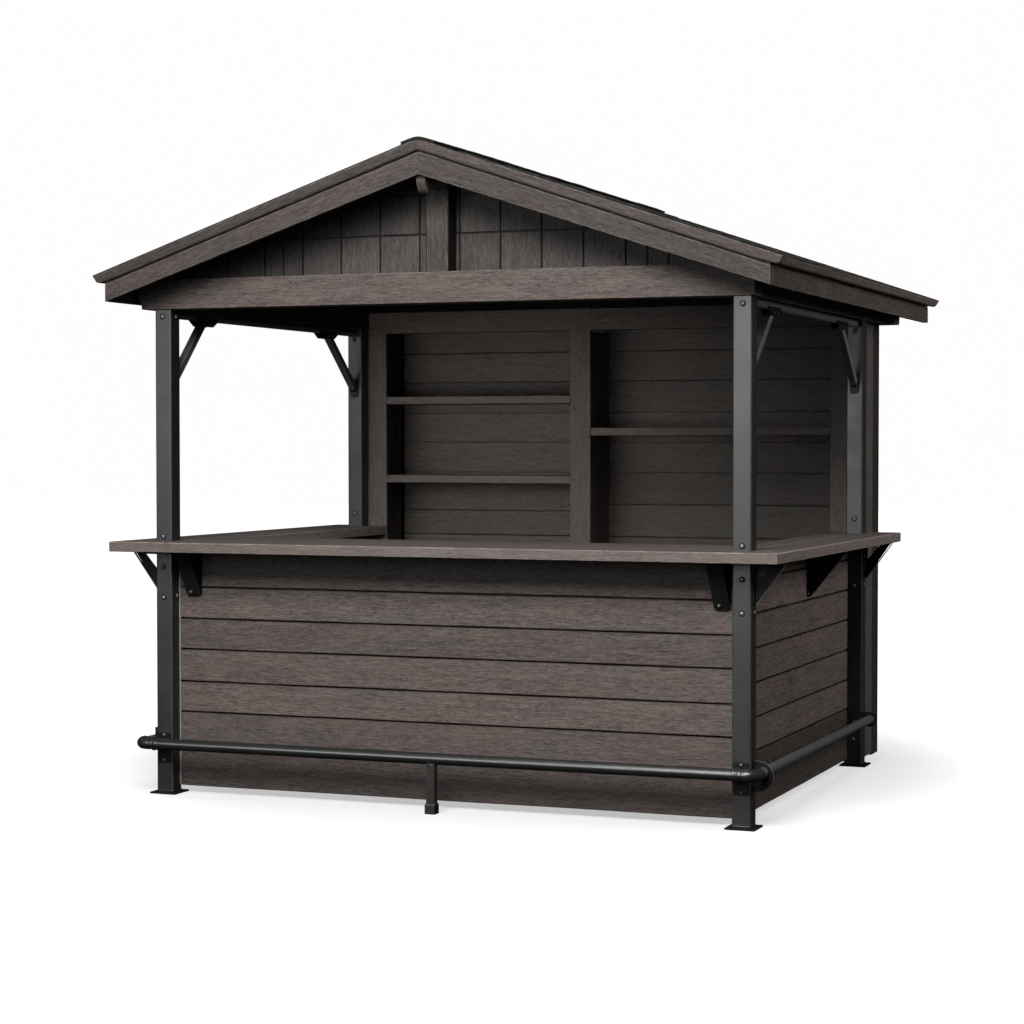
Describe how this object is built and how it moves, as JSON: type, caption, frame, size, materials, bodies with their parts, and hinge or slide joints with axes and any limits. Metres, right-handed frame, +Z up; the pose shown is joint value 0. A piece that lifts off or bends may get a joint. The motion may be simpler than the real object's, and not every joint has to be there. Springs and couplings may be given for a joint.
{
  "type": "market stall",
  "caption": "Wooden bar-type market stall with a gabled shingle roof, steel corner posts, U-shaped counter, foot rail, plank panels and a shelved back wall.",
  "frame": {"origin": "on the ground, under the middle of the stall's outline", "axes": "+X to the right along the front, +Y from the front to the back, +Z up; people are served at the -Y side"},
  "size_m": [2.9432, 2.955, 2.6782],
  "materials": {
    "stained_board": "dark grey-brown stain, matt, fine grain",
    "counter_board": "grey-brown stain, low sheen, fine grain",
    "black_steel": "black powder coat, satin",
    "shingle": "dark mineral-faced roof shingle, rough"
  },
  "bodies": {
    "root": {"back_wall": "stained_board", "front_counter": "counter_board", "front_foot_rail": "black_steel", "front_gable_wall": "stained_board", "front_king_post": "stained_board", "front_left_barge_board": "stained_board", "front_left_base_plate": "black_steel", "front_left_bracket": "black_steel", "front_left_post": "black_steel", "front_left_rail_mount": "black_steel", "front_panel": "stained_board", "front_right_barge_board": "stained_board", "front_right_base_plate": "black_steel", "front_right_bracket": "black_steel", "front_right_post": "black_steel", "front_right_rail_mount": "black_steel", "front_tie_beam": "stained_board", "left_counter": "counter_board", "left_eave_fascia": "stained_board", "left_foot_rail": "black_steel", "left_header_frame": "black_steel", "left_lower_shelf": "stained_board", "left_panel": "stained_board", "left_roof_deck": "stained_board", "left_shingles": "shingle", "left_side_beam": "stained_board", "left_side_front_bracket": "black_steel", "left_side_middle_bracket": "black_steel", "left_side_rear_bracket": "black_steel", "left_unit_side": "stained_board", "left_upper_shelf": "stained_board", "middle_divider": "stained_board", "rear_gable_wall": "stained_board", "rear_left_barge_board": "stained_board", "rear_left_base_plate": "black_steel", "rear_left_corner_post": "black_steel", "rear_left_post": "black_steel", "rear_right_barge_board": "stained_board", "rear_right_base_plate": "black_steel", "rear_right_corner_post": "black_steel", "rear_right_post": "black_steel", "rear_tie_beam": "stained_board", "ridge_cap": "shingle", "right_counter": "counter_board", "right_eave_fascia": "stained_board", "right_foot_rail": "black_steel", "right_header_frame": "black_steel", "right_panel": "stained_board", "right_roof_deck": "stained_board", "right_shelf": "stained_board", "right_shingles": "shingle", "right_side_beam": "stained_board", "right_side_front_bracket": "black_steel", "right_side_middle_bracket": "black_steel", "right_side_rear_bracket": "black_steel", "right_unit_side": "stained_board", "top_rail": "stained_board"}
  },
  "joints": []
}
